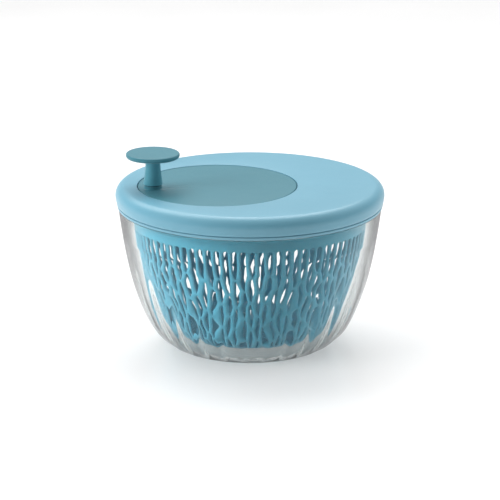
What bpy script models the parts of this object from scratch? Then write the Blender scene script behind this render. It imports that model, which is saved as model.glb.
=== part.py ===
"""A salad spinner: a clear bowl, a slotted basket that turns on a pivot in it, and a lid with a crank.

The crank is a flush disc, set off the lid's centre, with a mushroom knob near its edge. A ring gear
under the disc turns a pinion on the bowl's axis three times per turn, and the pinion's shaft turns
a drive plate whose lugs push ribs inside the basket's rim.

Lengths are in millimetres and become metres where a mesh is made. The origin is on the table, at
the centre of the bowl's foot, with +Z up. The crank disc lies towards -X.
"""

import math

import bmesh
import bpy
from mathutils import Matrix, Vector
from mathutils.geometry import interpolate_bezier

MM = 0.001
GAP = 0.3

# Driving dimensions of the bowl and the lid
LID_TOP_Z = 160.0
LID_RADIUS = 130.0
LID_FLAT_RADIUS = 120.0
LID_EDGE_Z = 138.6
LID_EDGE_RADIUS = 127.6
LID_WALL = 2.6
SKIRT_INSIDE_RADIUS = 124.4
BOWL_WALL = 4.0
BOWL_FLOOR_Z = 5.5
BOWL_RIM_RADIUS = 123.5
BOWL_RIM_INSIDE = 120.3
BOWL_RIM_Z = 148.0
FOOT_RADIUS = 66.0
FOOT_WIDTH = 7.0
FOOT_RECESS = 1.5

# Basket
BASKET_FLOOR_Z = 15.0
BASKET_RIM_Z = 137.0
BASKET_WALL = 2.0
BASKET_SLOTS = 30
SLOT_SHARE = 0.42
SOCKET_RADIUS = 8.0
SOCKET_TOP_Z = 23.4

# Crank disc, off the bowl's axis, and its knob
CRANK_X = -32.0
CRANK_RADIUS = 76.6
CRANK_TOP_Z = 159.7
CRANK_PLATE_Z = 157.0
WELL_RADIUS = 77.3
WELL_WALL = 2.0
WELL_FLOOR_Z = 147.5
KNOB_X = CRANK_X - 62.5
KNOB_RADIUS = 25.8
KNOB_TOP_Z = 194.7

# Gears: the ring gear's tooth count over the pinion's is the step-up
GEAR_MODULE = 2.0
RING_TEETH = 48
PINION_TEETH = 16
PRESSURE_ANGLE = math.radians(20)
TOOTH_SLACK = 0.2
RING_OUTSIDE = 57.5

# Drive plate under the lid
PLATE_RADIUS = 101.0
PLATE_Z = 131.2
PLATE_THICKNESS = 2.0
LUG_COUNT = 4
LUG_TIP_RADIUS = 106.6
LUG_WIDTH = 10.0
LUG_TURN = math.radians(45)
SHAFT_RADIUS = 5.0
UNDERPLATE_Z = 139.2
UNDERPLATE_RADIUS = 115.5
UNDERPLATE_SCREW_RADIUS = 96.0
UNDERPLATE_SCREW_TURNS = [math.radians(a) for a in (30, 115, -115, -30)]
GEAR_SCREW_TURNS = [math.radians(a) for a in (45, 135, 225, 315)]
GEAR_SCREW_RADIUS = 54.0

FINE = 48
PLATE = 32
MEDIUM = 20
SMALL = 10


# ---------------------------------------------------------------- helpers


def clear_scene():
    for obj in list(bpy.data.objects):
        bpy.data.objects.remove(obj)


def plastic(name, colour, roughness, alpha=1.0, metallic=0.0):
    material = bpy.data.materials.new(name)
    material.use_nodes = True
    shader = material.node_tree.nodes["Principled BSDF"]
    shader.inputs["Base Color"].default_value = (*colour, 1.0)
    shader.inputs["Roughness"].default_value = roughness
    shader.inputs["Metallic"].default_value = metallic
    shader.inputs["Alpha"].default_value = alpha
    return material


def object_from(name, bm, material, centre=(0.0, 0.0)):
    """Makes the object from a mesh in millimetres, with its origin on the vertical axis at centre."""
    bmesh.ops.recalc_face_normals(bm, faces=bm.faces)
    bmesh.ops.scale(bm, vec=(MM, MM, MM), verts=bm.verts)
    mesh = bpy.data.meshes.new(name)
    bm.to_mesh(mesh)
    bm.free()
    mesh.shade_smooth()
    mesh.set_sharp_from_angle(angle=math.radians(35))
    obj = bpy.data.objects.new(name, mesh)
    obj.location = (centre[0] * MM, centre[1] * MM, 0.0)
    bpy.context.scene.collection.objects.link(obj)
    if material is not None:
        mesh.materials.append(material)
    return obj


def spun(outline, steps):
    """The closed outline of (radius, height) points, turned about the vertical axis."""
    bm = bmesh.new()
    verts = [bm.verts.new((r, 0.0, z)) for r, z in outline]
    edges = [bm.edges.new((verts[i - 1], verts[i])) for i in range(len(verts))]
    bmesh.ops.spin(
        bm,
        geom=verts + edges,
        axis=(0, 0, 1),
        angle=math.tau,
        steps=steps,
        use_merge=True,
    )
    bmesh.ops.remove_doubles(bm, verts=bm.verts, dist=1e-4)
    on_axis = [edge for edge in bm.edges if not edge.link_faces]
    bmesh.ops.delete(bm, geom=on_axis, context="EDGES")
    return bm


def turned(name, outline, material, steps=FINE, centre=(0.0, 0.0)):
    return object_from(name, spun(outline, steps), material, centre)


def tube_outline(inside, outside, low, high):
    return [(inside, low), (outside, low), (outside, high), (inside, high)]


def helper(obj):
    """A cutter or an addition: it isn't a part itself."""
    obj.hide_render = True
    obj.display_type = "WIRE"
    return obj


def combine(target, operation, other):
    modifier = target.modifiers.new(other.name, "BOOLEAN")
    modifier.operation = operation
    modifier.object = helper(other)
    return target


def use_manifold_solver(target):
    """For a piece whose rings of coplanar faces the exact solver leaves open."""
    for modifier in target.modifiers:
        modifier.solver = "MANIFOLD"
    return target


def drill(target, name, radius, low, high, centre=(0.0, 0.0), steps=SMALL):
    cutter = turned(name, tube_outline(0.0, radius, low, high), None, steps, centre)
    return combine(target, "DIFFERENCE", cutter)


def add_post(target, name, radius, low, high, centre=(0.0, 0.0), steps=SMALL):
    post = turned(name, tube_outline(0.0, radius, low, high), None, steps, centre)
    return combine(target, "UNION", post)


def on_circle(radius, turn, centre_x=0.0):
    return (centre_x + radius * math.cos(turn), radius * math.sin(turn))


def arc(centre_r, centre_z, radius, start, end, steps):
    """Points along an arc in the outline's plane, angles in degrees from the radial direction."""
    turns = [math.radians(start + (end - start) * i / steps) for i in range(steps + 1)]
    return [
        (centre_r + radius * math.cos(t), centre_z + radius * math.sin(t))
        for t in turns
    ]


def curve(start, handle_a, handle_b, end, steps):
    flat = [Vector((r, z, 0.0)) for r, z in (start, handle_a, handle_b, end)]
    return [(p.x, p.y) for p in interpolate_bezier(*flat, steps)]


def prism(name, points, low, high, material, centre=(0.0, 0.0)):
    bm = bmesh.new()
    bottom = bm.faces.new([bm.verts.new((x, y, low)) for x, y in points])
    raised = bmesh.ops.extrude_face_region(bm, geom=[bottom])["geom"]
    bmesh.ops.translate(
        bm,
        vec=(0, 0, high - low),
        verts=[v for v in raised if isinstance(v, bmesh.types.BMVert)],
    )
    return object_from(name, bm, material, centre)


def screw(name, material, head_z, head_radius, shank_radius, tip_z, centre):
    """A pan-head screw driven upwards: its head is at the bottom, with a cross recess in it."""
    head = 1.6
    outline = [
        (0.0, head_z),
        (head_radius * 0.7, head_z),
        (head_radius, head_z + 0.5),
        (head_radius, head_z + head),
        (shank_radius, head_z + head),
        (shank_radius, tip_z - shank_radius),
        (0.0, tip_z),
    ]
    body = turned(name, outline, material, SMALL, centre)
    wide, thin = head_radius * 0.55, 0.4
    quarter = [(wide, -thin), (wide, thin), (thin, thin)]
    cross = []
    for turn in range(4):
        cos, sin = (1, 0, -1, 0)[turn], (0, 1, 0, -1)[turn]
        cross += [(x * cos - y * sin, x * sin + y * cos) for x, y in quarter]
    recess = prism(f"{name}_recess", cross, head_z - 1.0, head_z + 0.8, None, centre)
    return combine(body, "DIFFERENCE", recess)


# ---------------------------------------------------------------- bowl


def bowl_wall_curve(inset, steps):
    """The bowl's outer wall from under the lid down to the foot, moved in by inset."""
    side = curve(
        (127.4 - inset, LID_EDGE_Z - GAP),
        (122.2 - inset, 98.6),
        (115.8 - inset, 55.5),
        (98.5 - inset * 0.9, 24.0 + inset * 0.45),
        steps,
    )
    corner = curve(
        (98.5 - inset * 0.9, 24.0 + inset * 0.45),
        (92.2 - inset * 0.8, 12.6 + inset * 0.7),
        (78.0, inset),
        (FOOT_RADIUS, inset),
        steps // 2 + 1,
    )
    return side + corner[1:]


def make_bowl(material):
    foot_inside = FOOT_RADIUS - FOOT_WIDTH
    outer = bowl_wall_curve(0.0, 7)
    inner = [p for p in bowl_wall_curve(BOWL_WALL, 6) if p[0] < BOWL_RIM_INSIDE]
    floor_z = BOWL_FLOOR_Z
    rim = [
        (BOWL_RIM_INSIDE, BOWL_RIM_Z - 1.0),
        (BOWL_RIM_INSIDE + 1.0, BOWL_RIM_Z),
        (BOWL_RIM_RADIUS - 0.8, BOWL_RIM_Z),
        (BOWL_RIM_RADIUS, BOWL_RIM_Z - 1.0),
        (BOWL_RIM_RADIUS, LID_EDGE_Z - GAP),
    ]
    under = [(foot_inside, 0.0), (foot_inside - 1.5, FOOT_RECESS), (0.0, FOOT_RECESS)]
    pivot = [(0.0, 19.2), (1.5, 19.2), (3.0, 18.3), (8.0, floor_z)]
    floor = [(FOOT_RADIUS - 2.0, floor_z)]
    inside = [p for p in reversed(inner) if p[1] > floor_z and p[0] > FOOT_RADIUS]
    outline = rim + outer + under + pivot + floor + inside
    return turned("bowl", outline, material)


# ---------------------------------------------------------------- basket


def basket_rows():
    """(outer point, inner point, True where a slot runs to the next row) from the rim to the axis."""
    floor = BASKET_FLOOR_Z
    inner_floor = floor + BASKET_WALL
    top = BASKET_RIM_Z
    socket = SOCKET_TOP_Z
    dome = SOCKET_TOP_Z + BASKET_WALL
    return [
        ((111.5, top), (108.0, top), False),
        ((111.5, top - 2.5), (107.9, top - 2.5), False),
        ((109.9, top - 3.5), (107.9, top - 3.5), False),
        ((109.6, 121.0), (107.6, 121.0), True),
        ((107.0, 92.0), (105.0, 92.2), False),
        ((106.3, 87.0), (104.3, 87.3), True),
        ((97.0, 57.5), (95.1, 58.2), False),
        ((95.0, 53.0), (93.1, 53.8), True),
        ((83.5, 26.5), (81.8, 27.6), False),
        ((78.5, 19.5), (77.2, 21.1), False),
        ((70.0, floor), (69.5, inner_floor), False),
        ((62.0, floor), (62.0, inner_floor), True),
        ((30.0, floor), (30.0, inner_floor), False),
        ((SOCKET_RADIUS, floor), (10.0, inner_floor), False),
        ((SOCKET_RADIUS, socket), (10.0, dome), False),
        ((0.0, socket), (0.0, dome), False),
    ]


def make_basket(material):
    """A shell of outer and inner faces, left open at each slot and closed by walls around it."""
    rows = basket_rows()
    pitch = math.tau / BASKET_SLOTS
    half = pitch * SLOT_SHARE / 2
    turns = [k * pitch + side for k in range(BASKET_SLOTS) for side in (-half, half)]
    bm = bmesh.new()

    def ring(point):
        if point[0] == 0.0:
            return [bm.verts.new((0.0, 0.0, point[1]))] * len(turns)
        return [
            bm.verts.new((point[0] * math.cos(t), point[0] * math.sin(t), point[1]))
            for t in turns
        ]

    outer = [ring(row[0]) for row in rows]
    inner = [ring(row[1]) for row in rows]

    def face(*corners):
        distinct = [v for i, v in enumerate(corners) if v is not corners[i - 1]]
        bm.faces.new(distinct)

    for column in range(len(turns)):
        after = (column + 1) % len(turns)
        face(outer[0][column], outer[0][after], inner[0][after], inner[0][column])
        for i in range(len(rows) - 1):
            o1, o2 = outer[i], outer[i + 1]
            i1, i2 = inner[i], inner[i + 1]
            if rows[i][2] and column % 2 == 0:
                face(o1[column], i1[column], i2[column], o2[column])
                face(o1[after], o2[after], i2[after], i1[after])
                face(o1[column], o1[after], i1[after], i1[column])
                face(o2[column], i2[column], i2[after], o2[after])
            else:
                face(o1[column], o2[column], o2[after], o1[after])
                face(i1[column], i1[after], i2[after], i2[column])
    basket = object_from("basket", bm, material)

    ribs = bmesh.new()
    for lug in range(LUG_COUNT):
        turn = LUG_TURN + lug * math.tau / LUG_COUNT
        for side in (-1, 1):
            offset = side * (LUG_WIDTH / 2 + 1.8)
            bmesh.ops.create_cube(
                ribs,
                size=1.0,
                matrix=Matrix.Rotation(turn, 4, "Z")
                @ Matrix.Translation((106.1, offset, 129.5))
                @ Matrix.Diagonal((5.2, 2.0, 12.0, 1.0)),
            )
    return combine(basket, "UNION", object_from("basket_drive_ribs", ribs, None))


def make_basket_bearing(material):
    """The pivot cup that snaps into the basket's socket and turns on the bowl's cone."""
    outline = [
        (5.4, 14.2),
        (7.5, 14.2),
        (7.5, SOCKET_TOP_Z - 0.9),
        (7.0, SOCKET_TOP_Z - 0.5),
        (0.0, SOCKET_TOP_Z - 0.5),
        (0.0, 20.2),
        (4.2, 20.2),
    ]
    return turned("basket_bearing", outline, material, MEDIUM)


# ---------------------------------------------------------------- lid


def make_lid_cover(material):
    """The lid's shell with the well for the crank, the bearing seats and the screw posts."""
    corner_z = LID_TOP_Z - (LID_RADIUS - LID_FLAT_RADIUS)
    corner = LID_RADIUS - LID_FLAT_RADIUS
    under_top = LID_TOP_Z - LID_WALL
    outline = (
        [(SKIRT_INSIDE_RADIUS, LID_EDGE_Z), (LID_EDGE_RADIUS, LID_EDGE_Z)]
        + [(129.0, 142.5), (129.8, 146.5)]
        + arc(LID_FLAT_RADIUS, corner_z, corner, 0, 90, 5)
        + [(0.0, LID_TOP_Z), (0.0, under_top)]
        + [(117.2, under_top), (117.2, 145.0), (119.2, 145.0), (119.2, under_top)]
        + arc(LID_FLAT_RADIUS, corner_z, corner - LID_WALL, 87, 54, 2)
        + [(SKIRT_INSIDE_RADIUS, corner_z + 4.0)]
    )
    cover = turned("lid_cover", outline, material)
    at_crank = (CRANK_X, 0.0)
    well_low = WELL_FLOOR_Z - WELL_WALL
    well_outside = WELL_RADIUS + WELL_WALL
    add_post(cover, "well_plug", well_outside, well_low, 158.5, at_crank, FINE)
    drill(cover, "well_pocket", WELL_RADIUS, WELL_FLOOR_Z, 170.0, at_crank, FINE)
    add_post(cover, "crank_boss", 9.6, WELL_FLOOR_Z - 1.0, 153.0, at_crank, MEDIUM)
    add_post(cover, "pinion_boss", 9.6, 144.0, WELL_FLOOR_Z - 0.6, (0.0, 0.0), MEDIUM)
    drill(cover, "crank_hole", 7.3, 140.0, 160.0, at_crank, MEDIUM)
    drill(cover, "pinion_hole", 6.9, 140.0, 160.0, (0.0, 0.0), MEDIUM)
    for i, turn in enumerate(UNDERPLATE_SCREW_TURNS):
        place = on_circle(UNDERPLATE_SCREW_RADIUS, turn)
        add_post(cover, f"screw_post_{i + 1}", 4.5, 141.6, 158.5, place)
        drill(cover, f"screw_hole_{i + 1}", 2.0, 140.0, 153.5, place)
    return use_manifold_solver(cover)


def make_lid_underplate(material):
    top = UNDERPLATE_Z + 2.0
    outline = [
        (0.0, UNDERPLATE_Z),
        (UNDERPLATE_RADIUS - 1.5, UNDERPLATE_Z),
        (UNDERPLATE_RADIUS, UNDERPLATE_Z + 1.5),
        (UNDERPLATE_RADIUS, UNDERPLATE_Z + 4.5),
        (UNDERPLATE_RADIUS - 2.0, UNDERPLATE_Z + 4.5),
        (UNDERPLATE_RADIUS - 2.0, top),
        (9.6, top),
        (9.6, top + 1.2),
        (0.0, top + 1.2),
    ]
    plate = turned("lid_underplate", outline, material, PLATE)
    drill(plate, "lower_bush_hole", 6.9, 130.0, 150.0, (0.0, 0.0), MEDIUM)
    for i, turn in enumerate(UNDERPLATE_SCREW_TURNS):
        place = on_circle(UNDERPLATE_SCREW_RADIUS, turn)
        drill(plate, f"underplate_hole_{i + 1}", 2.0, 130.0, 150.0, place)
    return plate


def make_bush(name, material, low, high, centre, hole):
    """A flanged plain bearing for the shaft, with its flange on top."""
    bore = SHAFT_RADIUS + 0.3
    outline = [
        (bore, low),
        (hole - 0.35, low),
        (hole - 0.35, high - 1.0),
        (hole + 1.6, high - 1.0),
        (hole + 1.6, high),
        (bore, high),
    ]
    return turned(name, outline, material, MEDIUM, centre)


# ---------------------------------------------------------------- gears


def involute_angle(pressure):
    return math.tan(pressure) - pressure


def gear_outline(teeth, tip, root, slack, flank_points):
    """Points round an involute gear with a tooth centred at angle 0, narrower by slack a side."""
    pitch = GEAR_MODULE * teeth / 2
    base = pitch * math.cos(PRESSURE_ANGLE)
    low = max(base, root)
    half_at_base = math.pi / (2 * teeth) + involute_angle(PRESSURE_ANGLE)
    flank = [(root, low)] if root < base else []
    flank += [
        (r, r)
        for r in (
            low + (tip - low) * i / (flank_points - 1) for i in range(flank_points)
        )
    ]
    half = [
        (r, half_at_base - involute_angle(math.acos(min(1.0, base / at))) - slack / at)
        for r, at in flank
    ]
    points = []
    for tooth in range(teeth):
        middle = tooth * math.tau / teeth
        points += [(r, middle - a) for r, a in half]
        points += [(r, middle + a) for r, a in reversed(half)]
    return [(r * math.cos(a), r * math.sin(a)) for r, a in points]


def make_ring_gear(material):
    pitch = GEAR_MODULE * RING_TEETH / 2
    low, high = 150.2, CRANK_PLATE_Z - GAP
    at_crank = (CRANK_X, 0.0)
    blank = tube_outline(0.0, RING_OUTSIDE, low, high)
    gear = turned("ring_gear", blank, material, FINE, at_crank)
    outline = gear_outline(RING_TEETH, pitch + 2.4, pitch - 1.8, -TOOTH_SLACK, 3)
    spaces = prism("ring_gear_spaces", outline, low - 5, high + 5, None, at_crank)
    combine(gear, "DIFFERENCE", spaces)
    for i, turn in enumerate(GEAR_SCREW_TURNS):
        place = on_circle(GEAR_SCREW_RADIUS, turn, CRANK_X)
        drill(gear, f"ring_gear_hole_{i + 1}", 1.6, low - 5, high + 5, place)
    return gear


def make_pinion(material):
    """The pinion and its shaft in one piece. The shaft's lower end is a hexagon."""
    pitch = GEAR_MODULE * PINION_TEETH / 2
    outline = gear_outline(PINION_TEETH, pitch + 1.8, pitch - 2.5, TOOTH_SLACK, 4)
    pinion = prism("drive_pinion", outline, 149.4, 156.2, material)
    add_post(pinion, "pinion_shaft", SHAFT_RADIUS, 138.4, 150.0, steps=MEDIUM)
    add_post(pinion, "pinion_hexagon", SHAFT_RADIUS - 0.2, 131.5, 139.0, steps=6)
    return drill(pinion, "pinion_screw_hole", 1.9, 125.0, 142.0)


# ---------------------------------------------------------------- crank


def make_crank_disc(material):
    """The crank's plate with its skirt, hub post and the boss that the knob turns on."""
    under = CRANK_PLATE_Z
    outline = [
        (0.0, 145.3),
        (SHAFT_RADIUS, 145.3),
        (SHAFT_RADIUS, under),
        (CRANK_RADIUS - 2.2, under),
        (CRANK_RADIUS - 2.2, 152.0),
        (CRANK_RADIUS, 152.0),
        (CRANK_RADIUS, CRANK_TOP_Z - 0.6),
        (CRANK_RADIUS - 0.6, CRANK_TOP_Z),
        (0.0, CRANK_TOP_Z),
    ]
    at_crank = (CRANK_X, 0.0)
    at_knob = (KNOB_X, 0.0)
    disc = turned("crank_disc", outline, material, FINE, at_crank)
    add_post(disc, "knob_boss", 8.4, 158.5, 163.2, at_knob, MEDIUM)
    drill(disc, "knob_screw_hole", 2.8, 158.0, 170.0, at_knob)
    drill(disc, "crank_screw_hole", 1.9, 140.0, 154.0, at_crank)
    for i, turn in enumerate(GEAR_SCREW_TURNS):
        place = on_circle(GEAR_SCREW_RADIUS, turn, CRANK_X)
        drill(disc, f"gear_screw_hole_{i + 1}", 1.6, 150.0, 158.9, place)
    return use_manifold_solver(disc)


def make_knob(material):
    """The sleeve with the head's cone, and the cap that closes it."""
    at_knob = (KNOB_X, 0.0)
    grip = [
        (2.8, 163.7),
        (8.6, 163.7),
        (9.1, 164.4),
        (8.3, 172.0),
        (7.4, 181.0),
        (7.0, 186.5),
        (8.2, 188.2),
        (KNOB_RADIUS - 1.2, 190.2),
        (KNOB_RADIUS - 0.8, 190.7),
        (5.0, 190.7),
        (5.0, 184.6),
        (2.8, 184.6),
    ]
    turned("knob_grip", grip, material, MEDIUM, at_knob)
    cap = (
        [(0.0, 189.2), (4.6, 189.2), (4.6, 191.0), (KNOB_RADIUS - 0.4, 191.0)]
        + [(KNOB_RADIUS, 191.5)]
        + arc(KNOB_RADIUS - 1.4, KNOB_TOP_Z - 1.4, 1.4, 0, 90, 3)
        + [(0.0, KNOB_TOP_Z)]
    )
    turned("knob_cap", cap, material, MEDIUM, at_knob)


def make_knob_fixings(steel):
    """The shoulder screw that the knob turns on, and the washer under its head."""
    at_knob = (KNOB_X, 0.0)
    outline = [
        (0.0, 158.6),
        (1.8, 158.6),
        (2.4, 159.4),
        (2.4, 185.9),
        (4.4, 185.9),
        (4.4, 187.6),
        (3.6, 188.5),
        (0.0, 188.5),
    ]
    bolt = turned("knob_screw", outline, steel, SMALL, at_knob)
    drill(bolt, "knob_screw_socket", 1.7, 187.0, 190.0, at_knob, 6)
    washer = tube_outline(2.8, 4.5, 184.95, 185.55)
    turned("knob_washer", washer, steel, SMALL, at_knob)


# ---------------------------------------------------------------- drive plate


def make_drive_plate(material):
    """The plate that the shaft turns, with lugs that reach between the basket's ribs."""
    top = PLATE_Z + PLATE_THICKNESS
    outline = [
        (0.0, PLATE_Z),
        (PLATE_RADIUS - 1.0, PLATE_Z),
        (PLATE_RADIUS, PLATE_Z + 1.0),
        (PLATE_RADIUS, PLATE_Z + 4.0),
        (PLATE_RADIUS - 2.0, PLATE_Z + 4.0),
        (PLATE_RADIUS - 2.0, top),
        (10.0, top),
        (10.0, 137.6),
        (0.0, 137.6),
    ]
    plate = turned("drive_plate", outline, material, PLATE)
    lugs = bmesh.new()
    low_radius = PLATE_RADIUS - 3.0
    for lug in range(LUG_COUNT):
        turn = LUG_TURN + lug * math.tau / LUG_COUNT
        middle = (LUG_TIP_RADIUS + low_radius) / 2
        bmesh.ops.create_cube(
            lugs,
            size=1.0,
            matrix=Matrix.Rotation(turn, 4, "Z")
            @ Matrix.Translation((middle, 0.0, PLATE_Z + 2.3))
            @ Matrix.Diagonal((LUG_TIP_RADIUS - low_radius, LUG_WIDTH, 2.6, 1.0)),
        )
    combine(plate, "UNION", object_from("drive_lugs", lugs, None))
    return drill(plate, "hexagon_bore", SHAFT_RADIUS + 0.15, 120.0, 145.0, steps=6)


def main():
    clear_scene()
    clear = plastic("clear_plastic", (0.85, 0.88, 0.88), 0.05, alpha=0.3)
    blue = plastic("light_blue_plastic", (0.22, 0.50, 0.62), 0.35)
    lattice = plastic("basket_plastic", (0.19, 0.47, 0.58), 0.4)
    teal = plastic("teal_plastic", (0.13, 0.33, 0.38), 0.38)
    acetal = plastic("white_acetal", (0.85, 0.85, 0.82), 0.35)
    steel = plastic("steel", (0.6, 0.6, 0.62), 0.3, metallic=1.0)

    make_bowl(clear)
    make_basket(lattice)
    make_basket_bearing(acetal)

    make_lid_cover(blue)
    make_lid_underplate(blue)
    for i, turn in enumerate(UNDERPLATE_SCREW_TURNS):
        place = on_circle(UNDERPLATE_SCREW_RADIUS, turn)
        screw(f"underplate_screw_{i + 1}", steel, 137.2, 3.5, 1.6, 152.0, place)
    make_bush("crank_bush", acetal, 146.0, 154.3, (CRANK_X, 0.0), 7.3)
    make_bush("upper_shaft_bush", acetal, 144.5, 148.8, (0.0, 0.0), 6.9)
    make_bush("lower_shaft_bush", acetal, 139.6, 143.7, (0.0, 0.0), 6.9)

    make_crank_disc(teal)
    make_ring_gear(acetal)
    for i, turn in enumerate(GEAR_SCREW_TURNS):
        place = on_circle(GEAR_SCREW_RADIUS, turn, CRANK_X)
        screw(f"ring_gear_screw_{i + 1}", steel, 148.3, 2.4, 1.2, 158.5, place)
    crank_washer = tube_outline(1.9, 9.4, 144.15, 144.95)
    turned("crank_washer", crank_washer, steel, MEDIUM, (CRANK_X, 0.0))
    screw("crank_screw", steel, 142.2, 3.5, 1.5, 153.0, (CRANK_X, 0.0))
    make_knob(teal)
    make_knob_fixings(steel)

    make_pinion(acetal)
    make_drive_plate(blue)
    plate_washer = tube_outline(1.9, 8.0, 129.9, 130.9)
    turned("drive_plate_washer", plate_washer, steel, MEDIUM)
    screw("drive_plate_screw", steel, 128.0, 3.5, 1.5, 141.0, (0.0, 0.0))


main()
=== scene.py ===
import math
from collections import namedtuple

import bmesh
import bpy
import numpy as np
from mathutils import Matrix, Vector
from mathutils.geometry import interpolate_bezier


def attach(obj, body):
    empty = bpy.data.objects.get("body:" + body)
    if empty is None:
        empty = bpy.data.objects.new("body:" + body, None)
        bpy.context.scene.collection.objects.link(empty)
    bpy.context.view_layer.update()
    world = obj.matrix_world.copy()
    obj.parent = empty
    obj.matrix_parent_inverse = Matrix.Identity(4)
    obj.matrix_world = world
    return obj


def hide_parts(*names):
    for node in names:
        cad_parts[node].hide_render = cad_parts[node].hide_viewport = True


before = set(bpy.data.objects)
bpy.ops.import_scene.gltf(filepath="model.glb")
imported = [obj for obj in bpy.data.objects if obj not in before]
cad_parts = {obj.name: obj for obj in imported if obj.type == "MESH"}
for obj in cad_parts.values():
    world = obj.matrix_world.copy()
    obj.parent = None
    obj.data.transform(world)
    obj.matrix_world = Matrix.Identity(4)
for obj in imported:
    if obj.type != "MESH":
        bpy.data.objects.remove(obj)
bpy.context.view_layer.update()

# Lengths below are in millimetres, in the CAD frame, and become metres where a mesh is made.
MM = 0.001
CRANK_X = -32.0  # the crank disc's axis
KNOB_X = -94.5  # the knob's axis
ROUND = 192  # sides of a large round piece
SMOOTH_ANGLE = 35  # degrees between faces, above which the edge between them is sharp


# ---------------------------------------------------------------- mesh helpers


def mesh_object(name, verts, faces, smooth_angle=SMOOTH_ANGLE):
    """A piece from points in millimetres and faces, with consistent normals."""
    mesh = bpy.data.meshes.new(name)
    mesh.from_pydata([tuple(c * MM for c in v) for v in verts], [], faces)
    bm = bmesh.new()
    bm.from_mesh(mesh)
    bmesh.ops.recalc_face_normals(bm, faces=bm.faces)
    bm.to_mesh(mesh)
    bm.free()
    mesh.shade_smooth()
    mesh.set_sharp_from_angle(angle=math.radians(smooth_angle))
    obj = bpy.data.objects.new(name, mesh)
    bpy.context.scene.collection.objects.link(obj)
    return obj


def skin(name, rings, smooth_angle=SMOOTH_ANGLE):
    """Joins rings of points in turn, and the last to the first. A ring on the axis has one point."""
    verts, starts = [], []
    for ring in rings:
        starts.append(len(verts))
        verts += ring
    steps = max(len(ring) for ring in rings)

    def corner(ring, k):
        return starts[ring] + k % len(rings[ring])

    faces = []
    for i in range(len(rings)):
        j = (i + 1) % len(rings)
        if len(rings[i]) == len(rings[j]) == 1:
            continue
        for k in range(steps):
            loop = [corner(i, k), corner(i, k + 1), corner(j, k + 1), corner(j, k)]
            faces.append([v for n, v in enumerate(loop) if v != loop[n - 1]])
    return mesh_object(name, verts, faces, smooth_angle)


def circle(cx, r, z, steps):
    """A level ring of points, or the one point on the axis if the radius is 0."""
    if r == 0:
        return [(cx, 0.0, z)]
    turns = [math.tau * k / steps for k in range(steps)]
    return [(cx + r * math.cos(a), r * math.sin(a), z) for a in turns]


def loft(name, rings, steps=ROUND):
    """Joins circles (centre x, radius, height) in turn, and the last to the first."""
    return skin(name, [circle(*ring, steps) for ring in rings])


def turned(name, outline, cx=0.0, steps=ROUND):
    """A closed outline (radius, height) turned round the upright axis at cx."""
    return loft(name, [(cx, r, z) for r, z in outline], steps)


def arc(r, z, radius, start, end, steps):
    """Points on an arc in the outline's plane, angles in degrees from the radial direction."""
    turns = [math.radians(start + (end - start) * i / steps) for i in range(steps + 1)]
    return [(r + radius * math.cos(t), z + radius * math.sin(t)) for t in turns]


def curve(points, steps):
    """Points on the Bezier curve with four control points (radius, height)."""
    flat = [Vector((r, z, 0.0)) for r, z in points]
    return [(p.x, p.y) for p in interpolate_bezier(*flat, steps)]


def baked(obj, *operations):
    """obj after Booleans with the given (operation, other) pairs, which are then removed."""
    for operation, other in operations:
        modifier = obj.modifiers.new(other.name, "BOOLEAN")
        modifier.operation = operation
        modifier.solver = "MANIFOLD"
        modifier.object = other
    graph = bpy.context.evaluated_depsgraph_get()
    mesh = bpy.data.meshes.new_from_object(obj.evaluated_get(graph))
    obj.modifiers.clear()
    obj.data = mesh
    mesh.shade_smooth()
    mesh.set_sharp_from_angle(angle=math.radians(SMOOTH_ANGLE))
    for _, other in operations:
        bpy.data.objects.remove(other)
    return obj


def plug(name, radius, low, high, cx=0.0, cy=0.0, steps=64):
    """A plain cylinder, to join or to cut with."""
    obj = turned(name, [(0, low), (radius, low), (radius, high), (0, high)], 0.0, steps)
    obj.data.transform(Matrix.Translation((cx * MM, cy * MM, 0)))
    return obj


# ---------------------------------------------------------------- materials


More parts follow.
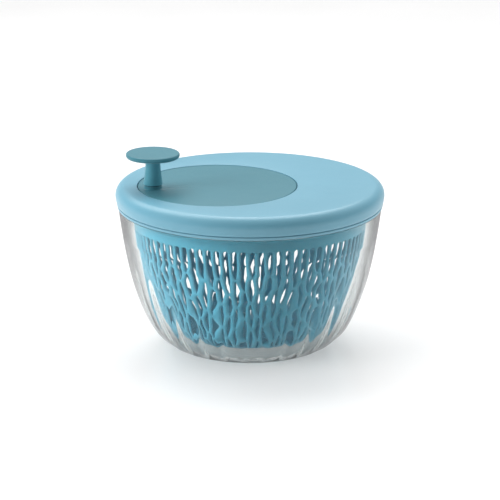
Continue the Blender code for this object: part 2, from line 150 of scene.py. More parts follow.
class Graph:
    """Short names for building a node material."""

    def __init__(self, name):
        self.material = bpy.data.materials.new(name)
        self.material.use_nodes = True
        self.tree = self.material.node_tree
        self.shader = self.tree.nodes["Principled BSDF"]
        self.output = self.tree.nodes["Material Output"]
        self.place = self.node("ShaderNodeTexCoord").outputs["Object"]

    def node(self, kind, **settings):
        node = self.tree.nodes.new(kind)
        for key, value in settings.items():
            setattr(node, key, value)
        return node

    def link(self, a, b):
        self.tree.links.new(a, b)

    def stretched(self, scale):
        """The place on the object, with each axis scaled."""
        mapping = self.node("ShaderNodeMapping")
        mapping.inputs["Scale"].default_value = scale
        self.link(self.place, mapping.inputs["Vector"])
        return mapping.outputs["Vector"]

    def noise(self, scale, detail=3.0, rough=0.55, place=None):
        noise = self.node("ShaderNodeTexNoise")
        noise.inputs["Scale"].default_value = scale
        noise.inputs["Detail"].default_value = detail
        noise.inputs["Roughness"].default_value = rough
        self.link(place or self.place, noise.inputs["Vector"])
        return noise.outputs["Fac"]

    def ranged(self, value, low, high, from_low=0.3, from_high=0.7):
        """low to high as the value goes from from_low to from_high, which suit a noise."""
        node = self.node("ShaderNodeMapRange")
        self.link(value, node.inputs["Value"])
        for key, number in (
            ("From Min", from_low),
            ("From Max", from_high),
            ("To Min", low),
            ("To Max", high),
        ):
            node.inputs[key].default_value = number
        return node.outputs["Result"]

    def mixed(self, factor, first, second):
        """A colour between two colours, or between a socket's colour and a colour."""
        node = self.node("ShaderNodeMix", data_type="RGBA")
        self.link(factor, node.inputs["Factor"])
        for socket, colour in ((node.inputs["A"], first), (node.inputs["B"], second)):
            if isinstance(colour, tuple):
                socket.default_value = (*colour, 1.0)
            else:
                self.link(colour, socket)
        return node.outputs["Result"]

    def added(self, a, b):
        node = self.node("ShaderNodeMath", operation="ADD")
        self.link(a, node.inputs[0])
        self.link(b, node.inputs[1])
        return node.outputs[0]

    def edges(self, low, high):
        """0 on flats to 1 on worn edges, from the surface's curvature."""
        pointed = self.node("ShaderNodeNewGeometry").outputs["Pointiness"]
        return self.ranged(pointed, 0.0, 1.0, low, high)

    def bumped(self, height, distance, strength):
        bump = self.node("ShaderNodeBump")
        bump.inputs["Distance"].default_value = distance
        bump.inputs["Strength"].default_value = strength
        self.link(height, bump.inputs["Height"])
        self.link(bump.outputs["Normal"], self.shader.inputs["Normal"])


def shade(colour, amount):
    """A deeper colour for an amount under 1, and a paler one over 1."""
    return tuple(min(1.0, c * amount) for c in colour)


def moulded(name, colour, roughness=0.36, grain=0.5, wear=0.25, index=1.49):
    """Satin moulded plastic: faint flow marks, a fine grain, and slightly paler worn edges."""
    g = Graph(name)
    cloud = g.ranged(g.noise(9.0, 4.0), 0.0, 1.0)
    cloudy = g.mixed(cloud, shade(colour, 0.97), shade(colour, 1.03))
    fleck = g.ranged(g.noise(950.0, 2.0), 0.0, 0.35, 0.45, 0.8)
    flecked = g.mixed(fleck, cloudy, shade(colour, 0.9))
    pale = tuple(c + (1.0 - c) * 0.22 for c in colour)
    worn = g.node("ShaderNodeMath", operation="MULTIPLY")
    g.link(g.edges(0.52, 0.62), worn.inputs[0])
    worn.inputs[1].default_value = wear
    g.link(g.mixed(worn.outputs[0], flecked, pale), g.shader.inputs["Base Color"])
    rough = g.added(
        g.ranged(g.noise(22.0, 5.0), roughness - 0.04, roughness + 0.04),
        g.ranged(g.noise(700.0, 2.0), -0.03, 0.03),
    )
    g.link(rough, g.shader.inputs["Roughness"])
    g.shader.inputs["IOR"].default_value = index
    g.shader.inputs["Sheen Weight"].default_value = 0.04
    g.bumped(g.added(g.noise(1400.0, 3.0), g.noise(420.0, 2.0)), 0.00006, grain)
    return g.material


def steel(name):
    """Bright turned steel with fine lines round it."""
    g = Graph(name)
    lines = g.noise(60.0, 6.0, 0.7, g.stretched((1.0, 1.0, 30.0)))
    lined = g.mixed(g.ranged(lines, 0.0, 1.0), (0.5, 0.5, 0.52), (0.68, 0.68, 0.7))
    g.link(lined, g.shader.inputs["Base Color"])
    g.shader.inputs["Metallic"].default_value = 1.0
    g.link(g.ranged(g.noise(300.0, 4.0), 0.2, 0.36), g.shader.inputs["Roughness"])
    g.bumped(lines, 0.00004, 0.4)
    return g.material


def painted_edge_shade(g, facing, surface):
    """Painted shade: mixes a dark grey into the tall upper wall of the bowl where the view runs along
    its thickness.
    """
    height = g.node("ShaderNodeSeparateXYZ")
    g.link(g.place, height.inputs["Vector"])
    amount = g.node("ShaderNodeMath", operation="MULTIPLY")
    g.link(g.ranged(height.outputs["Z"], 0.0, 1.0, 0.045, 0.115), amount.inputs[0])
    g.link(g.ranged(facing, 0.0, 0.55, 0.58, 0.86), amount.inputs[1])
    # The painted shade is this dark grey diffuse surface
    grey = g.node("ShaderNodeBsdfDiffuse")
    grey.inputs["Color"].default_value = (0.07, 0.07, 0.075, 1.0)
    mix = g.node("ShaderNodeMixShader")
    g.link(amount.outputs[0], mix.inputs["Fac"])
    g.link(surface, mix.inputs[1])
    g.link(grey.outputs["BSDF"], mix.inputs[2])
    return mix.outputs["Shader"]


def clear_to_shadows(g, surface):
    """Lets light straight through to what stands behind, so that the shadow stays light."""
    clear = g.node("ShaderNodeBsdfTransparent")
    clear.inputs["Color"].default_value = (0.95, 0.96, 0.96, 1.0)
    mix = g.node("ShaderNodeMixShader")
    g.link(g.node("ShaderNodeLightPath").outputs["Is Shadow Ray"], mix.inputs["Fac"])
    g.link(surface, mix.inputs[1])
    g.link(clear.outputs["BSDF"], mix.inputs[2])
    return mix.outputs["Shader"]


def clear_plastic(name):
    """Clear moulded plastic with painted shade that darkens it where it is seen edge on, and a few
    fine scratches.
    """
    g = Graph(name)
    facing = g.node("ShaderNodeLayerWeight").outputs["Facing"]
    cloud = g.ranged(g.noise(6.0, 3.0), 0.0, 1.0)
    cloudy = g.mixed(cloud, (0.975, 0.985, 0.985), (0.99, 0.992, 0.99))
    # Painted shade: the colour goes nearly black where the wall is seen edge on
    rim = g.ranged(facing, 0.0, 1.0, 0.50, 0.89)
    g.link(g.mixed(rim, cloudy, (0.05, 0.05, 0.055)), g.shader.inputs["Base Color"])
    scratches = g.ranged(g.noise(30.0, 6.0, 0.65), 0.0, 0.02, 0.45, 0.75)
    g.link(scratches, g.shader.inputs["Roughness"])
    g.shader.inputs["IOR"].default_value = 1.47
    g.shader.inputs["Specular Tint"].default_value = (0.3, 0.3, 0.3, 1.0)
    g.shader.inputs["Transmission Weight"].default_value = 1.0
    g.bumped(g.noise(24.0, 3.0), 0.0001, 0.1)
    depth = g.node("ShaderNodeVolumeAbsorption")
    depth.inputs["Color"].default_value = (0.72, 0.80, 0.785, 1.0)
    depth.inputs["Density"].default_value = 38.0
    g.link(depth.outputs["Volume"], g.output.inputs["Volume"])
    # Painted shade on the upper wall where it is seen edge on
    surface = painted_edge_shade(g, facing, g.shader.outputs["BSDF"])
    g.link(clear_to_shadows(g, surface), g.output.inputs["Surface"])
    return g.material


LID_BLUE = (0.145, 0.365, 0.475)
TEAL = (0.052, 0.2, 0.252)
BASKET_BLUE = (0.09, 0.41, 0.56)
WHITE = (0.78, 0.78, 0.74)

lid_plastic = moulded("lid_plastic", LID_BLUE)
crank_plastic = moulded("crank_plastic", TEAL, roughness=0.46, index=1.36)
# Painted light: the same teal paled by half again for the sleeve, whose stem the lamps leave dim
sleeve_painted_light = moulded("sleeve_painted_light", shade(TEAL, 1.5), roughness=0.42, index=1.4)
basket_plastic = moulded("basket_plastic", BASKET_BLUE, roughness=0.38, wear=0.15, index=1.42)
# Painted shade: the basket's blue deepened for the inside and the sides of the gaps, where little
# light reaches
basket_painted_shade = moulded(
    "basket_painted_shade", shade(BASKET_BLUE, 0.34), roughness=0.6, wear=0.0, index=1.3
)
drive_plastic = moulded("drive_plastic", LID_BLUE, roughness=0.42)
acetal = moulded("acetal", WHITE, roughness=0.33, grain=0.3)
fixing_steel = steel("fixing_steel")
bowl_clear = clear_plastic("bowl_clear")


def finish_piece(obj, body, material, slot, *nodes):
    """Gives a piece its material, its body, and the CAD nodes that it stands in for."""
    obj.data.materials.clear()
    obj.data.materials.append(material)
    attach(obj, body)
    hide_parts(*nodes)
    return obj


# ---------------------------------------------------------------- bowl

FLUTES = 28
FLUTE_STEPS = 14  # points across one flute
FLUTE_TURN = 0.6  # where the first crest lies, in radians of the flutes' wave
OUTER_RELIEF = 0.5
INNER_RELIEF = 0.6
SHOULDER_Z = 138.3  # the step under the rim, which the lid's edge stands over
RIM_Z = 148.0
NECK_RADIUS = 120.3  # the rim's inner radius
FOOT_RADIUS = 66.0  # where the base turns flat
BOWL_WALL = 4.0
BOWL_FLOOR = 5.5
PIVOT_Z = 19.2


def smoothstep(x, low, high):
    """0 below low to 1 above high, with an even start and end."""
    t = min(1.0, max(0.0, (x - low) / (high - low)))
    return t * t * (3 - 2 * t)


def bowl_side(inset, steps):
    """The wall and the lower corner, from the shoulder to the foot, moved in by inset."""
    bend = (98.5 - 0.9 * inset, 24.0 + 0.45 * inset)
    side = [(127.4 - inset, SHOULDER_Z), (122.2 - inset, 98.6), (115.8 - inset, 55.5), bend]
    low = (92.2 - 0.8 * inset, 12.6 + 0.7 * inset)
    corner = [bend, low, (78.0, inset), (FOOT_RADIUS, inset)]
    return curve(side, steps) + curve(corner, steps // 2)[1:]


def flute_depth(z, r):
    """How deep the flutes are: nothing under the rim, most near the base, nothing on the floor."""
    return (1.0 - smoothstep(z, 20.0, 105.0)) * smoothstep(r, 64.0, 86.0)


def bowl_ring(r, z, side):
    """A ring of points. Broad hollows lie between narrow crests, where the wall is thicker."""
    if r == 0:
        return [(0.0, 0.0, z)]
    depth = flute_depth(z, r)
    ring = []
    for k in range(FLUTES * FLUTE_STEPS):
        turn = math.tau * k / (FLUTES * FLUTE_STEPS)
        crest = (0.5 + 0.5 * math.cos(FLUTES * turn + FLUTE_TURN)) ** 3
        here = r
        if side == "outer":
            here = r - OUTER_RELIEF * depth * (1 - crest)
        elif side == "inner":
            here = r + 0.2 - depth * (0.3 + INNER_RELIEF * crest)
        ring.append((here * math.cos(turn), here * math.sin(turn), z))
    return ring


def make_bowl():
    """The bowl: a rim, a fluted wall, a flat foot, and a cone that the basket turns on."""
    rim = [(NECK_RADIUS, 141.0), (NECK_RADIUS, 147.3), (120.7, 147.8), (121.3, RIM_Z)]
    rim += [(122.7, RIM_Z), (123.3, 147.6), (123.5, 147.0), (123.5, 138.5), (123.9, SHOULDER_Z)]
    rim += [(127.0, SHOULDER_Z)]
    outer = bowl_side(0.0, 40)
    foot = [(60.0, 0.0), (59.2, 0.2), (57.8, 1.4), (57.2, 1.5), (0.0, 1.5)]
    pivot = [(0.0, PIVOT_Z), (1.3, PIVOT_Z), (2.2, 18.8), (2.9, 18.1), (7.4, 6.6)]
    pivot += [(9.0, BOWL_FLOOR), (60.0, BOWL_FLOOR)]
    inner = [
        (r, z)
        for r, z in reversed(bowl_side(BOWL_WALL, 40))
        if FOOT_RADIUS < r < NECK_RADIUS and z > BOWL_FLOOR
    ]
    rings = [bowl_ring(r, z, "plain") for r, z in rim]
    rings += [bowl_ring(r, z, "outer") for r, z in outer]
    rings += [bowl_ring(r, z, "plain") for r, z in foot + pivot]
    rings += [bowl_ring(r, z, "inner") for r, z in inner]
    return skin("bowl_shell", rings, 50)


finish_piece(make_bowl(), "bowl", bowl_clear, "bowl_clear", "bowl")


# ---------------------------------------------------------------- basket

STRANDS = 82
PITCH = math.tau / STRANDS
ACROSS = (0.22, 0.5, 0.78)  # where a strand's outer points lie across it
HOLE_ROWS = [0.0, 34.0, 64.0, 92.0, 119.0, 146.0]  # where each row of holes starts, down the wall
CLOSED = 0.06  # the share of a hole's row in which its strands are joined
LAST_HOLE = 121.0
FLOOR_START = 129.0
SLOT_START, SLOT_END = 133.0, 157.0
SLOT_WIDTH = 0.32  # widths across the strands are in pitches
LEAST_STRAND = 0.3
LEAST_OPENING = 0.05
LEAST_HALF = 0.02
STRAND_RELIEF = 1.15  # how far a strand's edges lie behind its crown
BAND_EDGE = 124.0
WALL = [
    # distance down the wall from the band, outer point, inner point
    (0.0, (109.8, BAND_EDGE), (107.8, BAND_EDGE)),
    (10.3, (109.0, 113.7), (107.0, 113.8)),
    (31.5, (107.0, 92.6), (105.0, 92.9)),
    (51.0, (102.6, 73.6), (100.7, 74.2)),
    (71.3, (95.6, 54.5), (93.8, 55.4)),
    (92.8, (88.0, 34.4), (86.2, 35.3)),
    (100.5, (84.6, 27.6), (83.0, 28.8)),
    (107.6, (80.2, 22.0), (79.0, 23.6)),
    (113.5, (75.4, 17.8), (74.6, 19.6)),
    (119.5, (69.6, 15.4), (69.3, 17.4)),
    (129.1, (60.0, 15.0), (60.0, 17.0)),
    (159.1, (30.0, 15.0), (30.0, 17.0)),
]
BAND = [
    # outer radius and height, inner radius and height, going up
    (109.9, 126.0, 107.8, 126.0),
    (110.2, 131.0, 107.9, 131.0),
    (110.4, 133.6, 107.9, 133.6),
    (111.3, 134.2, 107.9, 134.4),
    (111.5, 135.0, 107.95, 135.2),
    (111.4, 136.2, 108.1, 136.2),
    (110.9, 136.9, 108.6, 136.8),
]
HUB = [
    # lower radius and height, upper radius and height, going in
    (12.0, 15.0, 14.0, 17.0),
    (9.0, 15.0, 12.0, 17.0),
    (8.3, 15.3, 10.6, 17.5),
    (8.0, 16.0, 10.0, 18.6),
    (8.0, 22.6, 10.0, 24.0),
    (7.4, 23.2, 9.5, 25.0),
    (6.6, 23.4, 8.4, 25.4),
]

Level = namedtuple("Level", "left right left_in right_in crown crown_in")


def wall_at(s):
    """The outer radius and height, and the inner ones, at a distance down the wall."""
    where = [row[0] for row in WALL]
    return [
        float(np.interp(s, where, [row[side][axis] for row in WALL]))
        for side in (1, 2)
        for axis in (0, 1)
    ]


def wall_openings(s, k, turn, shift, size):
    """How wide each gap in the wall is, in strand pitches: rows of pointed holes, offset in turn."""
    row = np.interp(s, HOLE_ROWS, range(len(HOLE_ROWS)))
    row = row + smoothstep(s, 3.0, 40.0) * (
        shift + 0.10 * np.sin(7 * turn + 0.02 * s) + 0.08 * np.sin(19 * turn - 0.05 * s)
    )
    hole = np.clip(np.floor(row).astype(int), 0, len(HOLE_ROWS))
    along = np.clip((row - hole - CLOSED / 2) / (1 - CLOSED), 0.0, 1.0)
    opening = np.sin(np.pi * along) ** np.interp(s, [0, 60], [0.6, 0.85])
    # The first row's holes start square under the band
    square = smoothstep(s, 0.0, 2.2) ** 0.5 * 0.92
    top = (hole == 0) & (along < 0.5)
    opening = np.where(top, np.maximum(opening, square * (1 - 0.15 * along)), opening)
    if s == 0.0:
        opening = opening * 0.0
    width = np.interp(s, [0, 30, 60], [0.54, 0.54, 0.47])
    return opening * size[k, hole] * width * (1.0 - smoothstep(s, 114.0, 120.5))


def floor_openings(s, k):
    """Every other gap goes on as a slot with round ends in the floor."""
    end = min(s - SLOT_START, SLOT_END - s)
    slot = SLOT_WIDTH * math.sqrt(max(0.0, min(1.0, end / 2.5)))
    return np.where(k % 2 == 0, slot, 0.0)


def placed_gaps(s, opening, k, turn):
    """Each gap's middle and half width. Strands keep one width if they can, so gaps push them."""
    strand = 1.0 - opening.mean()
    push = np.cumsum(strand + opening - 1.0)
    near = sum(np.roll(push, n) for n in range(-3, 4)) / 7
    push = (push - near) * smoothstep(s, 2.0, 25.0) * (1 - smoothstep(s, 118.0, 130.0))
    sway = smoothstep(s, 0.0, 60.0) * (1 - 0.8 * smoothstep(s, 112.0, 129.0))
    sway = sway * (
        0.30 * np.sin(3 * turn + 0.036 * s + 0.4)
        + 0.16 * np.sin(8 * turn - 0.060 * s + 1.9)
        + 0.07 * np.sin(19 * turn + 0.110 * s + 0.7)
    )
    middle = k + 0.5 + push + (opening.mean() - opening) / 2 + sway
    before = np.roll(middle, 1) - np.where(k == 0, STRANDS, 0)
    after = np.roll(middle, -1) + np.where(k == STRANDS - 1, STRANDS, 0)
    half = opening / 2
    room = np.minimum(
        (middle - before) - np.roll(half, 1), (after - middle) - np.roll(half, -1)
    )
    half = np.clip(np.minimum(half, room - LEAST_STRAND), 0.0, None)
    half = np.where(opening > 0, half, 0.0)
    return middle, np.where(half < LEAST_HALF, 0.0, half)


def strand_gaps(levels):
    """For each level, the middle and half width of the gap after each strand, in pitches."""
    rng = np.random.default_rng(11)
    k = np.arange(STRANDS)
    turn = math.tau * k / STRANDS
    shift = np.where(k % 2 == 0, -0.24, 0.24) + rng.uniform(-0.13, 0.13, STRANDS)
    size = rng.uniform(0.86, 1.08, (STRANDS, len(HOLE_ROWS) + 2))
    gaps = []
    for s in levels:
        if s <= LAST_HOLE:
            opening = wall_openings(s, k, turn, shift, size)
        elif s > FLOOR_START:
            opening = floor_openings(s, k)
        else:
            opening = np.zeros(STRANDS)
        opening = np.where(opening < LEAST_OPENING, 0.0, opening)
        gaps.append(placed_gaps(s, opening, k, turn))
    return gaps


class Shell:
    """The points and faces of a closed shell, and which of its faces take painted shade: a deeper
    colour on the inside and on the gaps' sides.
    """

    def __init__(self):
        self.verts, self.faces, self.inner = [], [], []

    def point(self, r, z, turn):
        self.verts.append((r * math.cos(turn), r * math.sin(turn), z))
        return len(self.verts) - 1

    def face(self, *corners, inner=False):
        loop = [v for n, v in enumerate(corners) if v != corners[n - 1]]
        if len(set(loop)) > 2:
            if inner:
                self.inner.append(len(self.faces))
            self.faces.append(loop)


def strand_ends(gap, k):
    """Where strand k starts and ends at a level, as turns."""
    middle, half = gap
    start = middle[k - 1] + half[k - 1] - (STRANDS if k == 0 else 0)
    return start * PITCH, (middle[k] - half[k]) * PITCH


def strand_level(shell, s, gap):
    """The points of all the strands at one level, each strand crowned across."""
    ro, zo, ri, zi = wall_at(s)
    a, b = wall_at(max(0.0, s - 1)), wall_at(s + 1)
    down = Vector((b[0] - a[0], b[1] - a[1])).normalized()
    middle, half = gap
    relief = STRAND_RELIEF * (1 - 0.6 * smoothstep(s, 118.0, 129.0))
    dips = [(0.12 + relief * min(1.0, h / 0.12)) * smoothstep(s, 0.0, 3.0) for h in half]

    def outer(turn, dip):
        return shell.point(ro + down[1] * dip, zo - down[0] * dip, turn)

    level = Level([], [], [], [], [], [])
    for k in range(STRANDS):
        low, high = (middle[k] - half[k]) * PITCH, (middle[k] + half[k]) * PITCH
        level.left.append(outer(low, dips[k]))
        level.left_in.append(shell.point(ri, zi, low))
        is_open = half[k] > 0
        level.right.append(outer(high, dips[k]) if is_open else level.left[k])
        level.right_in.append(shell.point(ri, zi, high) if is_open else level.left_in[k])
    for k in range(STRANDS):
        start, end = strand_ends(gap, k)
        spots = zip(ACROSS, (0.28 * dips[k - 1], 0.0, 0.28 * dips[k]))
        level.crown.append([outer(start + (end - start) * t, dip) for t, dip in spots])
        level.crown_in.append(shell.point(ri, zi, (start + end) / 2))
    return level


def join_levels(shell, a, b):
    """The strands between two levels, outside and inside, and the sides of the gaps."""
    for k in range(STRANDS):
        p = k - 1
        across_a = [a.right[p], *a.crown[k], a.left[k]]
        across_b = [b.right[p], *b.crown[k], b.left[k]]
        for n in range(len(across_a) - 1):
            shell.face(across_a[n], across_a[n + 1], across_b[n + 1], across_b[n])
        # The inside and the sides of the gaps take the painted shade
        shell.face(a.right_in[p], b.right_in[p], b.crown_in[k], a.crown_in[k], inner=True)
        shell.face(a.crown_in[k], b.crown_in[k], b.left_in[k], a.left_in[k], inner=True)
        if a.left[k] != a.right[k] or b.left[k] != b.right[k]:
            shell.face(a.left[k], a.left_in[k], b.left_in[k], b.left[k], inner=True)
            shell.face(a.right[k], b.right[k], b.right_in[k], a.right_in[k], inner=True)


def carried_on(shell, level, gap, profile):
    """Carries a level with no gaps on through a profile. Returns the last outer and inner rings."""
    ring, ring_in, turns, turns_in = [], [], [], []
    for k in range(STRANDS):
        start, end = strand_ends(gap, k)
        ring += [*level.crown[k], level.left[k]]
        turns += [start + (end - start) * t for t in (*ACROSS, 1.0)]
        ring_in += [level.crown_in[k], level.left_in[k]]
        turns_in += [(start + end) / 2, end]
    for ro, zo, ri, zi in profile:
        row = [shell.point(ro, zo, t) for t in turns]
        row_in = [shell.point(ri, zi, t) for t in turns_in]
        for old, new in ((ring, row), (ring_in, row_in)):
            for n in range(len(new)):
                m = (n + 1) % len(new)
                shell.face(old[n], old[m], new[m], new[n])
        ring, ring_in = row, row_in
    return ring, ring_in


def close_rim(shell, ring, ring_in):
    """The rim's top joins two rings, of which the outer has twice the points."""
    for n in range(len(ring_in)):
        m = (n + 1) % len(ring_in)
        a, b, c = ring[2 * n + 1], ring[(2 * n + 2) % len(ring)], ring[(2 * n + 3) % len(ring)]
        shell.face(a, b, ring_in[n])
        shell.face(b, c, ring_in[m], ring_in[n])


def close_hub(shell, *ends):
    """Caps each (ring, height) with a point on the axis."""
    for ring, z in ends:
        tip = shell.point(0.0, z, 0.0)
        for n in range(len(ring)):
            shell.face(ring[n], ring[(n + 1) % len(ring)], tip)


def make_basket():
    """One closed shell: strands side by side that part and meet again, under a plain band."""
    # Levels lie closer together where holes and slots start or end
    levels = [0.0, 0.35, 0.8, 1.4, 2.2, 3.4, *np.arange(4.8, LAST_HOLE, 1.3), LAST_HOLE]
    levels += [125.0, 129.1, 131.5, SLOT_START, 133.3, 133.8, 134.6, 135.6, 140.0, 145.0, 150.0]
    levels += [154.4, 155.4, 156.2, 156.7, SLOT_END, 159.1]
    gaps = strand_gaps(levels)
    shell = Shell()
    rows = [strand_level(shell, s, gap) for s, gap in zip(levels, gaps)]
    for above, below in zip(rows, rows[1:]):
        join_levels(shell, above, below)
    close_rim(shell, *carried_on(shell, rows[0], gaps[0], BAND))
    under, over = carried_on(shell, rows[-1], gaps[-1], HUB)
    close_hub(shell, (under, HUB[-1][1]), (over, HUB[-1][3]))
    basket = mesh_object("basket_lattice", shell.verts, shell.faces, 60)
    # The marked faces get the painted shade material
    for n in shell.inner:
        basket.data.polygons[n].material_index = 1
    return basket


basket = finish_piece(make_basket(), "basket", basket_plastic, "basket_plastic", "basket")
basket.data.materials.append(basket_painted_shade)


# ---------------------------------------------------------------- lid

SKIRT_Z = 138.6  # the lower edge of the cover
PLATE_Z = 157.4  # the underside of the cover's top
WELL_FLOOR = 147.5
WELL_UNDER = 145.5
POSTS_AT = 96.0  # the screw posts' distance from the axis
POST_TURNS = (30, 115, -115, -30)  # degrees


def make_lid():
    """The cover: a rounded rim with a fine groove, a well for the disc, and four screw posts."""
    skirt = [(124.9, SKIRT_Z), (127.3, SKIRT_Z), (127.9, 138.9), (128.2, 139.5), (128.5, 141.3)]
    groove = [(128.3, 141.6), (127.4, 141.8), (127.4, 142.2), (128.5, 142.4), (128.85, 142.8)]
    crown = [(129.4, 145.6), *arc(120.0, 150.0, 10.0, -6, 90, 20)]
    lip = arc(78.1, 159.2, 0.8, 90, 180, 5)
    well = [(77.3, 148.3), (76.9, 147.7), (76.3, WELL_FLOOR)]
    collar = [(10.2, WELL_FLOOR), (9.6, 148.1), (9.6, 152.6), (9.2, 153.0), (7.3, 153.0)]
    under = [(7.3, WELL_UNDER), (79.3, WELL_UNDER), (79.3, PLATE_Z)]
    rib = [(117.2, PLATE_Z), (117.2, 145.0), (119.2, 145.0), (119.2, PLATE_Z)]
    inside = [*arc(120.0, 150.0, 7.4, 87, 54, 6), (124.4, 154.0), (124.4, 139.0)]
    rings = [(0.0, r, z) for r, z in skirt + groove + crown]
    rings += [(CRANK_X, r, z) for r, z in lip + well + collar + under]
    rings += [(0.0, r, z) for r, z in rib + inside]
    steps = [
        ("UNION", plug("boss", 9.6, 144.0, 147.0)),
        ("DIFFERENCE", plug("hole", 6.9, 140.0, 160.0)),
    ]
    for n, turn in enumerate(POST_TURNS):
        x, y = POSTS_AT * math.cos(math.radians(turn)), POSTS_AT * math.sin(math.radians(turn))
        steps.append(("UNION", plug(f"post_{n}", 4.5, 141.6, 158.2, x, y, 32)))
        steps.append(("DIFFERENCE", plug(f"bore_{n}", 2.0, 140.0, 153.5, x, y, 24)))
    return baked(loft("lid_shell", rings), *steps)


finish_piece(make_lid(), "lid", lid_plastic, "lid_plastic", "lid_cover")


# ---------------------------------------------------------------- crank disc

DISC_TOP = 159.7
DISC_UNDER = 157.0
HUB_RADIUS = 5.0
BOSS_RADIUS = 9.4
DISC_SCREWS_AT = 54.0


def make_crank_disc():
    """The disc, with a hub under its middle and a boss that carries the knob's pin."""
    hub = [(0.0, 145.3), (4.6, 145.3), (HUB_RADIUS, 145.7), (HUB_RADIUS, 156.4)]
    edge = [(5.6, DISC_UNDER), (73.8, DISC_UNDER), (74.4, 156.4), (74.4, 152.0), (76.6, 152.0)]
    edge += arc(75.7, 158.8, 0.9, 0, 90, 6)
    disc = turned("crank_plate", [*hub, *edge, (0.0, DISC_TOP)], CRANK_X)
    boss = [(0, 158.4), (BOSS_RADIUS, 158.4), (BOSS_RADIUS, DISC_TOP), (8.75, 160.1)]
    boss += [(8.45, 160.8), (8.4, 162.7), (7.9, 163.2), (0, 163.2)]
    steps = [
        ("UNION", turned("boss", boss, KNOB_X, 96)),
        ("DIFFERENCE", plug("knob_bore", 2.8, 158.0, 170.0, KNOB_X, 0, 32)),
        ("DIFFERENCE", plug("centre_bore", 1.9, 140.0, 154.0, CRANK_X, 0, 24)),
    ]
    for n in range(4):
        a = math.radians(45 + 90 * n)
        x, y = CRANK_X + DISC_SCREWS_AT * math.cos(a), DISC_SCREWS_AT * math.sin(a)
        steps.append(("DIFFERENCE", plug(f"bore_{n}", 1.6, 150.0, 158.9, x, y, 24)))
    return baked(disc, *steps)


finish_piece(make_crank_disc(), "crank", crank_plastic, "crank_plastic", "crank_disc")


# ---------------------------------------------------------------- knob

PIN_HOLE = 2.8  # radius of the sleeve's bore
SLEEVE_TOP = 190.7
HEAD_UNDER = 191.0


def make_knob():
    """A tapered sleeve that flares into a thin flange, and the round head on it."""
    stem = [(PIN_HOLE, 163.7), (8.7, 163.7), *arc(8.6, 164.3, 0.6, -60, 20, 4)]
    stem += curve([(9.1, 164.8), (8.1, 172.5), (7.3, 180.0), (7.0, 186.0)], 10)
    flange = [*arc(9.0, 186.4, 2.0, 180, 100, 6), (16.0, 189.3), (24.4, 190.15), (24.9, 190.4)]
    flange += [(24.9, SLEEVE_TOP), (5.0, SLEEVE_TOP), (5.0, 184.6), (PIN_HOLE, 184.6)]
    head = [(0.0, 189.2), (4.6, 189.2), (4.6, HEAD_UNDER), (25.2, HEAD_UNDER)]
    head += arc(24.9, 192.0, 0.9, -60, 0, 4) + arc(24.2, 193.1, 1.6, 0, 90, 6)
    head += [(22.0, 194.62), (12.0, 194.45), (4.0, 194.4), (0.0, 194.4)]
    sleeve = turned("knob_sleeve", stem + flange, KNOB_X, 128)
    return sleeve, turned("knob_head", head, KNOB_X, 128)


grip, head = make_knob()
# The sleeve takes the paler teal, as painted light
finish_piece(grip, "knob", sleeve_painted_light, "crank_plastic", "knob_grip")
finish_piece(head, "knob", crank_plastic, "crank_plastic", "knob_cap")


# ---------------------------------------------------------------- CAD pieces that stay

STAYS = {
    "lid_underplate": drive_plastic,
    "drive_plate": drive_plastic,
    "ring_gear": acetal,
    "drive_pinion": acetal,
    "basket_bearing": acetal,
    "crank_bush": acetal,
    "upper_shaft_bush": acetal,
    "lower_shaft_bush": acetal,
}
for name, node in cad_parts.items():
    if not node.hide_render:
        node.data.materials.clear()
        node.data.materials.append(STAYS.get(name, fixing_steel))


# ---------------------------------------------------------------- floor, light, camera

# Lengths from here on are in metres.
FLOOR_HALF = 12.0
MIDDLE = Vector((0.0, 0.0, 0.1))


def make_floor():
    """A pale light table: its own glow keeps the object's shadow on it soft."""
    g = Graph("floor")
    cloud = g.ranged(g.noise(2.0, 3.0), 0.0, 1.0)
    g.link(g.mixed(cloud, (0.68, 0.68, 0.68), (0.69, 0.69, 0.69)), g.shader.inputs["Base Color"])
    g.link(g.ranged(g.noise(6.0, 2.0), 0.28, 0.34), g.shader.inputs["Roughness"])
    g.shader.inputs["Emission Color"].default_value = (1.0, 1.0, 1.0, 1.0)
    g.shader.inputs["Emission Strength"].default_value = 0.31
    corners = [(-1, -1), (1, -1), (1, 1), (-1, 1)]
    mesh = bpy.data.meshes.new("floor")
    mesh.from_pydata([(x * FLOOR_HALF, y * FLOOR_HALF, 0) for x, y in corners], [], [(0, 1, 2, 3)])
    mesh.materials.append(g.material)
    floor = bpy.data.objects.new("floor", mesh)
    bpy.context.scene.collection.objects.link(floor)


def softbox(name, place, width, height, power, mirrored=True):
    """An area lamp turned to the object. Glossy surfaces show it only if it is mirrored."""
    data = bpy.data.lights.new(name, "AREA")
    data.shape = "RECTANGLE"
    data.size, data.size_y = width, height
    data.energy = power
    lamp = bpy.data.objects.new(name, data)
    lamp.location = place
    lamp.visible_glossy = mirrored
    lamp.rotation_euler = (MIDDLE - Vector(place)).to_track_quat("-Z", "Y").to_euler()
    bpy.context.scene.collection.objects.link(lamp)


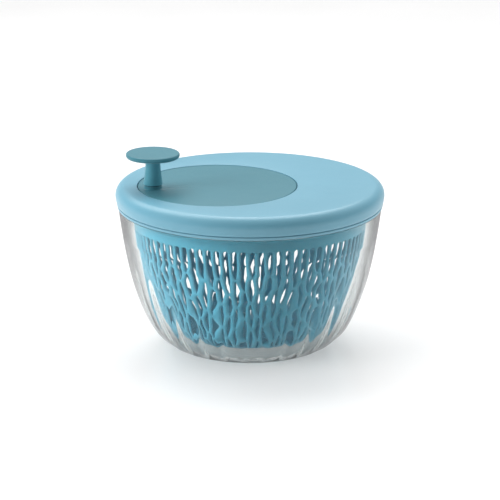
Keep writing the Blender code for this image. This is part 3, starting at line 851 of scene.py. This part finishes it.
def make_world():
    """A pale room: bright above and behind, dim in front of the object, and pale to the camera."""
    world = bpy.data.worlds.new("studio")
    world.use_nodes = True
    tree = world.node_tree

    def math_node(operation, a, b):
        node = tree.nodes.new("ShaderNodeMath")
        node.operation = operation
        for socket, value in zip(node.inputs, (a, b)):
            if isinstance(value, float):
                socket.default_value = value
            else:
                tree.links.new(value, socket)
        return node.outputs[0]

    split = tree.nodes.new("ShaderNodeSeparateXYZ")
    tree.links.new(tree.nodes.new("ShaderNodeTexCoord").outputs["Generated"], split.inputs["Vector"])
    rise = tree.nodes.new("ShaderNodeValToRGB")
    ramp = rise.color_ramp
    ramp.elements[0].color = (0.62, 0.62, 0.62, 1.0)
    for height, grey in ((0.06, 0.62), (0.14, 0.10), (0.30, 0.12), (0.80, 1.0)):
        ramp.elements.new(height).color = (grey, grey, grey, 1.0)
    tree.links.new(split.outputs["Z"], rise.inputs["Fac"])
    back = tree.nodes.new("ShaderNodeMapRange")
    back.inputs["From Min"].default_value = -0.9
    back.inputs["From Max"].default_value = 0.5
    back.inputs["To Min"].default_value = 0.05
    back.inputs["To Max"].default_value = 1.6
    tree.links.new(split.outputs["Y"], back.inputs["Value"])
    light = math_node("MULTIPLY", rise.outputs["Color"], back.outputs["Result"])
    rays = tree.nodes.new("ShaderNodeLightPath")
    seen = math_node("MULTIPLY", rays.outputs["Is Camera Ray"], 0.8)
    room = tree.nodes["Background"]
    room.inputs["Color"].default_value = (1.0, 1.0, 1.0, 1.0)
    tree.links.new(math_node("MAXIMUM", light, seen), room.inputs["Strength"])
    bpy.context.scene.world = world


def make_camera():
    """A long lens, a little left of the front and above it."""
    azimuth, elevation = math.radians(-10.0), math.radians(16.2)
    distance = 3.0
    level = math.cos(elevation)
    back = Vector((math.sin(azimuth) * level, -math.cos(azimuth) * level, math.sin(elevation)))
    data = bpy.data.cameras.new("camera")
    data.sensor_width = 36.0
    data.lens = 222.3
    camera = bpy.data.objects.new("camera", data)
    camera.location = Vector((0.0, 0.0, 0.093)) + back * distance
    camera.rotation_euler = (-back).to_track_quat("-Z", "Y").to_euler()
    bpy.context.scene.collection.objects.link(camera)
    bpy.context.scene.camera = camera


make_floor()
make_world()
softbox("overhead", (-0.1, 0.8, 1.4), 1.8, 1.2, 19)
softbox("left", (-1.5, -0.3, 0.6), 0.8, 0.9, 15, mirrored=False)
softbox("right", (1.5, -0.1, 0.55), 0.8, 0.9, 8, mirrored=False)
make_camera()
bpy.context.scene.view_settings.view_transform = "Standard"
